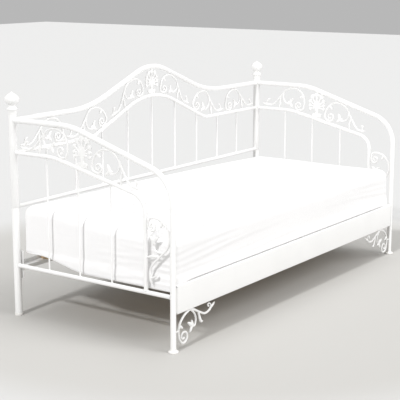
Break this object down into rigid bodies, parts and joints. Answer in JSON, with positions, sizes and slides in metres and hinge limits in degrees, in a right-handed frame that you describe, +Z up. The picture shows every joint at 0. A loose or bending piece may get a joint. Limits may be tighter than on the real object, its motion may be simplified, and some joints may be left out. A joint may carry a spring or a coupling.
{
  "type": "daybed",
  "caption": "White steel daybed with an arched back, swept arms, cast scroll and shell ornaments, a front board, a slatted deck and a mattress in a fitted sheet.",
  "frame": {"origin": "on the floor, under the middle of the bed's outline", "axes": "+X along the bed towards the right arm as seen from the front, +Y to the back panel, +Z up"},
  "size_m": [2.097, 0.9524, 1.0919],
  "materials": {
    "frame_paint": "semi-gloss white powder coat",
    "foot_plastic": "matte moulded plastic",
    "bolt_zinc": "bright zinc plate",
    "deck_plywood": "sanded birch plywood",
    "mattress_ticking": "plain cotton ticking",
    "sheet_cotton": "smooth woven cotton"
  },
  "bodies": {
    "frame": {"arm_bottom_rail_left": "frame_paint", "arm_bottom_rail_right": "frame_paint", "arm_inner_rail_left": "frame_paint", "arm_inner_rail_right": "frame_paint", "arm_rail_left": "frame_paint", "arm_rail_right": "frame_paint", "arm_scroll_left_a": "frame_paint", "arm_scroll_left_b": "frame_paint", "arm_scroll_left_c": "frame_paint", "arm_scroll_right_a": "frame_paint", "arm_scroll_right_b": "frame_paint", "arm_scroll_right_c": "frame_paint", "arm_shell_left": "frame_paint", "arm_shell_right": "frame_paint", "arm_spindle_left_1": "frame_paint", "arm_spindle_left_2": "frame_paint", "arm_spindle_left_3": "frame_paint", "arm_spindle_right_1": "frame_paint", "arm_spindle_right_2": "frame_paint", "arm_spindle_right_3": "frame_paint", "back_bottom_rail": "frame_paint", "back_inner_rail": "frame_paint", "back_scroll_left_1": "frame_paint", "back_scroll_left_2": "frame_paint", "back_scroll_left_3": "frame_paint", "back_scroll_right_1": "frame_paint", "back_scroll_right_2": "frame_paint", "back_scroll_right_3": "frame_paint", "back_shell": "frame_paint", "back_spindle_1": "frame_paint", "back_spindle_2": "frame_paint", "back_spindle_3": "frame_paint", "back_spindle_4": "frame_paint", "back_spindle_5": "frame_paint", "back_spindle_6": "frame_paint", "back_spindle_7": "frame_paint", "back_spindle_8": "frame_paint", "back_spindle_9": "frame_paint", "back_top_rail": "frame_paint", "corner_scroll_left": "frame_paint", "corner_scroll_right": "frame_paint", "finial_left": "frame_paint", "finial_right": "frame_paint", "front_foot_left": "foot_plastic", "front_foot_right": "foot_plastic", "front_rail": "frame_paint", "rail_bolt_front_left": "bolt_zinc", "rail_bolt_front_right": "bolt_zinc", "rail_bolt_rear_left": "bolt_zinc", "rail_bolt_rear_right": "bolt_zinc", "rear_foot_left": "foot_plastic", "rear_foot_right": "foot_plastic", "rear_leg_left": "frame_paint", "rear_leg_right": "frame_paint", "rear_post_left": "frame_paint", "rear_post_right": "frame_paint", "rear_rail": "frame_paint", "slat_deck": "deck_plywood"},
    "mattress": {"mattress": "mattress_ticking", "fitted_sheet": "sheet_cotton"}
  },
  "joints": [
    {"name": "mattress_lift", "type": "slide", "parent": "frame", "child": "mattress", "axis": [0, 0, 1], "range_m": [0, 0.84]}
  ]
}
